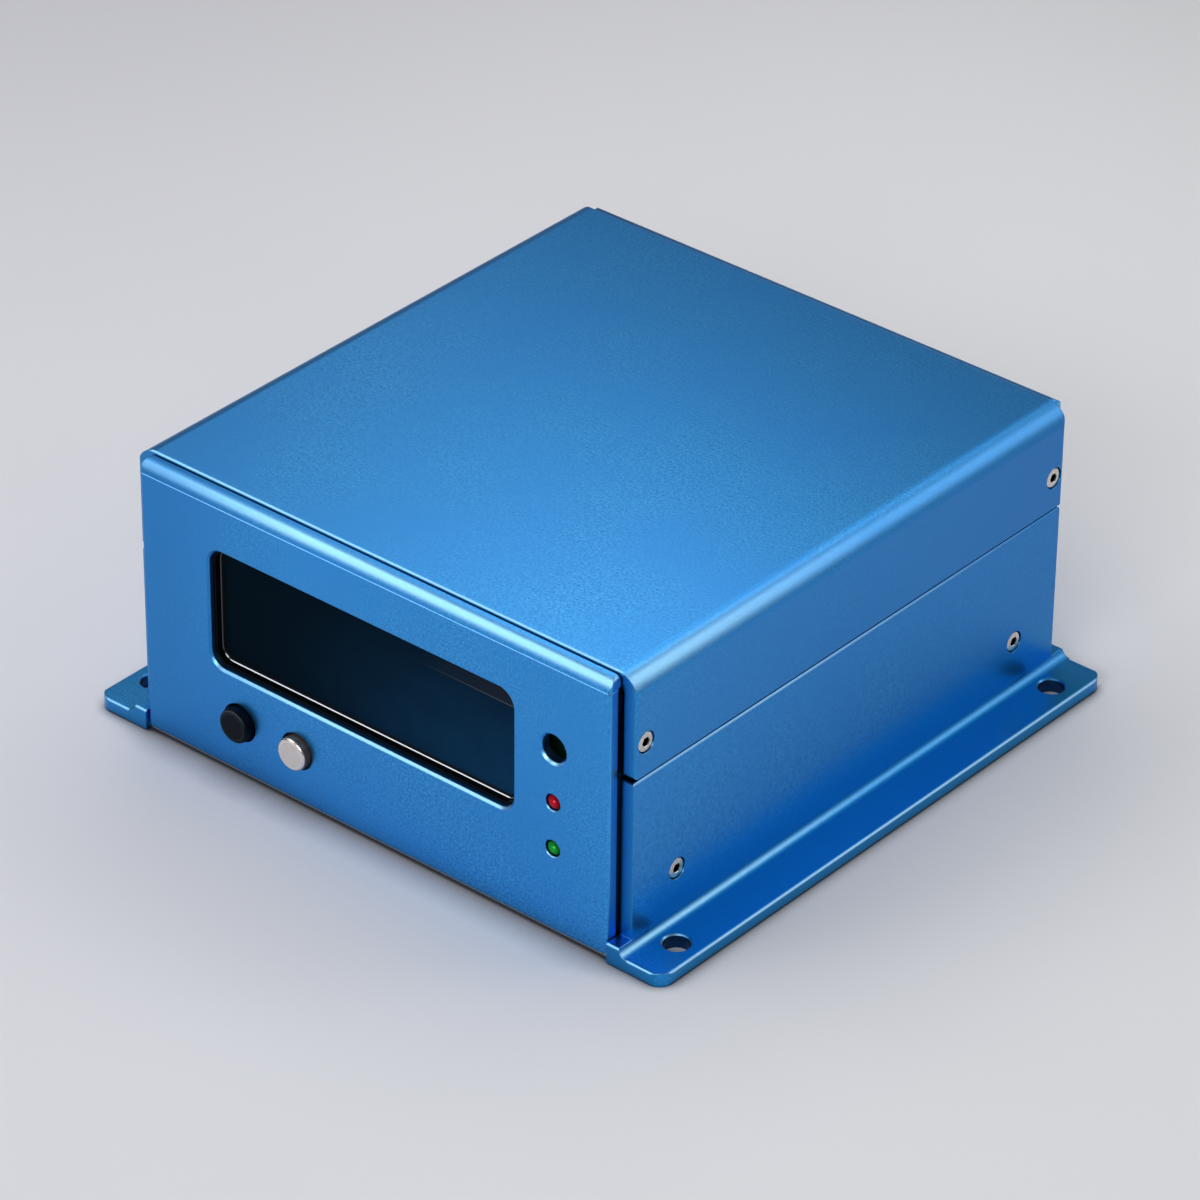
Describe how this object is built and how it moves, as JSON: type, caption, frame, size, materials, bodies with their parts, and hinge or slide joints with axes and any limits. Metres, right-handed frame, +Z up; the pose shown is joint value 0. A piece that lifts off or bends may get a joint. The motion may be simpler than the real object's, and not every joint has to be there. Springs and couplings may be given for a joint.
{
  "type": "sheet metal enclosure",
  "caption": "Low folded-sheet instrument case with side feet, a display window, push buttons, indicator lamps and an open port in its front panel.",
  "frame": {"origin": "centre of the four foot holes, on the plane that the feet are fixed to", "axes": "+Z up, away from the mounting plane; the front panel faces -Y; +X to the right as the front is seen"},
  "size_m": [0.1232, 0.1173, 0.053],
  "materials": {
    "blue_anodised": "bead-blasted and anodised blue",
    "bright_steel": "bright, turned",
    "satin_steel": "satin face, polished rim",
    "black_rubber": "moulded, matte",
    "tinted_pane": "smoked, polished",
    "bezel_metal": "black coated",
    "display_glass": "unlit display glass",
    "circuit_board": "green solder mask",
    "black_plastic": "moulded",
    "white_plastic": "moulded",
    "red_resin": "cast, tinted",
    "green_resin": "cast, tinted",
    "sleeved_can": "sleeved in dark film",
    "grey_ribbon": "flat cable"
  },
  "bodies": {
    "case": {"tray": "blue_anodised", "left_bracket": "blue_anodised", "right_bracket": "blue_anodised", "bracket_screws": "bright_steel", "front_panel": "blue_anodised", "rear_panel": "blue_anodised", "panel_studs": "bright_steel", "panel_nuts": "bright_steel", "cover": "blue_anodised", "cover_screws": "bright_steel", "window_gasket": "black_rubber", "window_lens": "tinted_pane", "display_bezel": "bezel_metal", "display_cell": "display_glass", "display_board": "circuit_board", "panel_standoffs": "bright_steel", "board_screws": "bright_steel", "switch_bodies": "black_plastic", "red_lamp": "red_resin", "green_lamp": "green_resin", "front_board": "circuit_board", "main_standoffs": "bright_steel", "main_board": "circuit_board", "controller_chip": "black_plastic", "capacitors": "sleeved_can", "power_jack": "black_plastic", "cable_sockets": "black_plastic", "display_cable": "grey_ribbon", "front_cable": "grey_ribbon"},
    "black_button": {"black_button": "black_plastic", "black_plunger": "white_plastic"},
    "metal_button": {"metal_button": "satin_steel", "metal_plunger": "white_plastic"}
  },
  "joints": [
    {"name": "black_button_press", "type": "slide", "parent": "case", "child": "black_button", "axis": [0, 1, 0], "range_m": [0, 0.001], "stiffness_N_per_m": 1200},
    {"name": "metal_button_press", "type": "slide", "parent": "case", "child": "metal_button", "axis": [0, 1, 0], "range_m": [0, 0.001], "stiffness_N_per_m": 1200}
  ]
}
